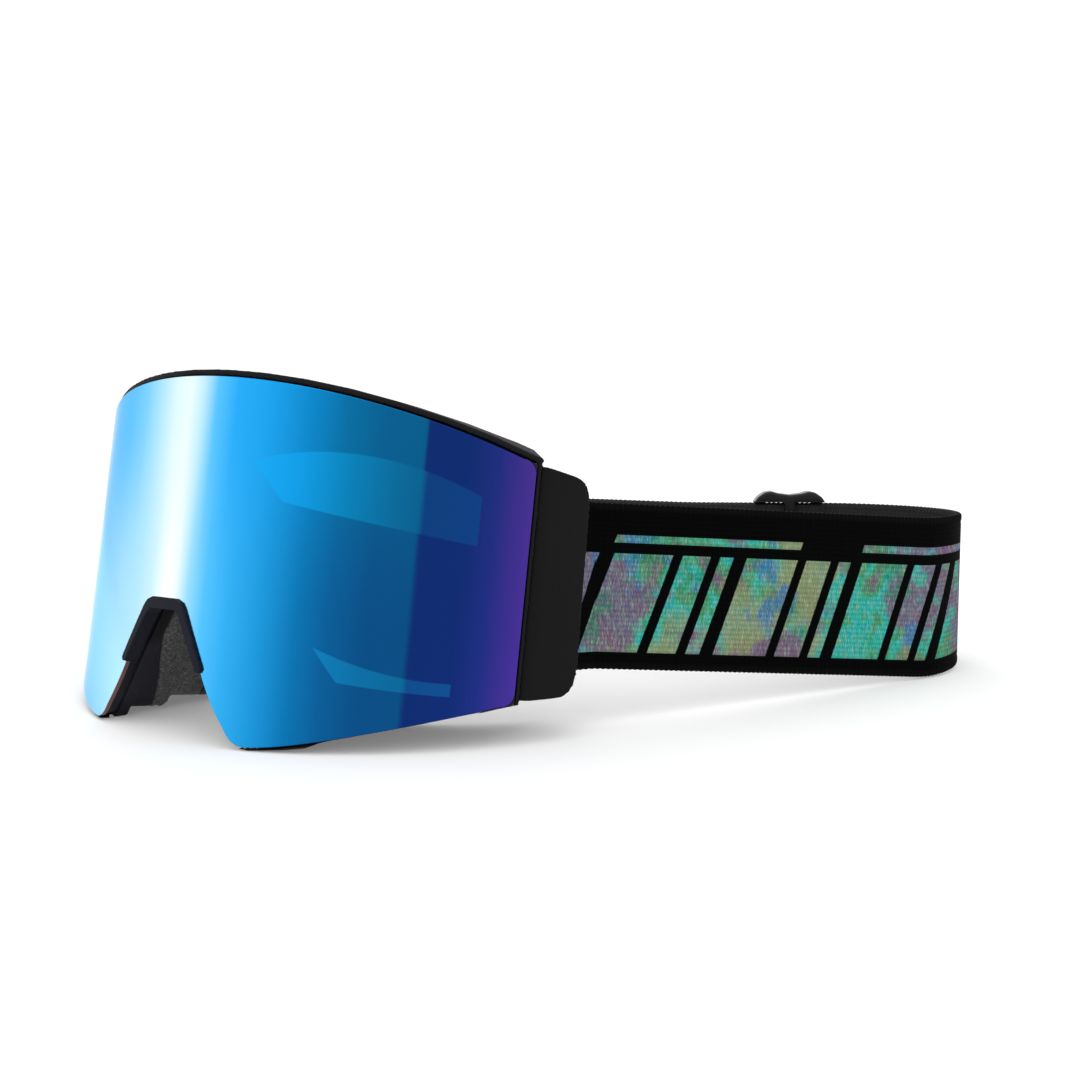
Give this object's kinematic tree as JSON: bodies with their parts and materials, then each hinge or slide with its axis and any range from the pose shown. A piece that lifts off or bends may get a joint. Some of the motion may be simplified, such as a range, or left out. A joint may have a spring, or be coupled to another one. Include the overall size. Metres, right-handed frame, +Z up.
{
  "type": "ski goggles",
  "caption": "Ski goggles with a cylindrical mirror lens that lifts off forwards, foam-backed frame, hinged strap outriggers and an elastic strap with an adjuster.",
  "frame": {"origin": "middle of the whole object's footprint, on the table plane it rests on", "axes": "+Z up, the lens faces -Y, +X towards the wearer's left as seen from behind the goggles' right-hand run of strap"},
  "size_m": [0.2403, 0.2495, 0.0979],
  "materials": {
    "lens_mirror": "mirror-coated polycarbonate",
    "lens_clear": "tinted, glossy",
    "gasket_foam": "matte",
    "carrier_plastic": "satin",
    "magnet_steel": "nickel plated",
    "trim_rubber": "matte",
    "frame_tpu": "matte",
    "vent_foam": "open cell",
    "foam_firm": "foam",
    "foam_soft": "foam",
    "fleece": "brushed",
    "pin_steel": "ground",
    "outrigger_plastic": "fine satin",
    "arm_plastic": "satin",
    "screw_steel": "dark zinc",
    "webbing": "woven elastic",
    "silicone": "glossy",
    "adjuster_plastic": "gloss"
  },
  "bodies": {
    "frame": {"frame": "frame_tpu", "frame_magnets": "magnet_steel", "vent_foam_top": "vent_foam", "vent_foam_bottom": "vent_foam", "face_foam_base": "foam_firm", "face_foam_mid": "foam_soft", "face_foam_fleece": "fleece", "hinge_pins": "pin_steel"},
    "lens": {"lens_outer": "lens_mirror", "lens_inner": "lens_clear", "lens_gasket": "gasket_foam", "lens_carrier": "carrier_plastic", "lens_magnets": "magnet_steel", "nose_trim": "trim_rubber"},
    "outrigger_right": {"outrigger_cover_right": "outrigger_plastic", "outrigger_arm_right": "arm_plastic", "outrigger_screws_right": "screw_steel", "strap_loop_right": "webbing"},
    "outrigger_left": {"outrigger_cover_left": "outrigger_plastic", "outrigger_arm_left": "arm_plastic", "outrigger_screws_left": "screw_steel", "strap_loop_left": "webbing"},
    "strap": {"strap_webbing": "webbing", "strap_adjuster_run": "webbing", "strap_grip_lines": "silicone"},
    "slider": {"strap_slider": "adjuster_plastic"}
  },
  "joints": [
    {"name": "lens_lift_off", "type": "slide", "parent": "frame", "child": "lens", "axis": [0, -0.9856, 0.1693], "range_m": [0, 0.035]},
    {"name": "outrigger_right_swing", "type": "hinge", "parent": "frame", "child": "outrigger_right", "pos_m": [0.05489, -0.06706, 0.04018], "axis": [0, -0.1693, -0.9856], "range_deg": [-8, 20]},
    {"name": "outrigger_left_swing", "type": "hinge", "parent": "frame", "child": "outrigger_left", "pos_m": [-0.11029, -0.06706, 0.04018], "axis": [0, 0.1693, 0.9856], "range_deg": [-8, 20]},
    {"name": "strap_swing", "type": "hinge", "parent": "frame", "child": "strap", "pos_m": [-0.0277, -0.05847, 0.03871], "axis": [1, 0, 0], "range_deg": [0, 15]},
    {"name": "adjuster_slide", "type": "slide", "parent": "strap", "child": "slider", "axis": [-0.866, -0.5, 0], "range_m": [-0.0015, 0.02]}
  ]
}
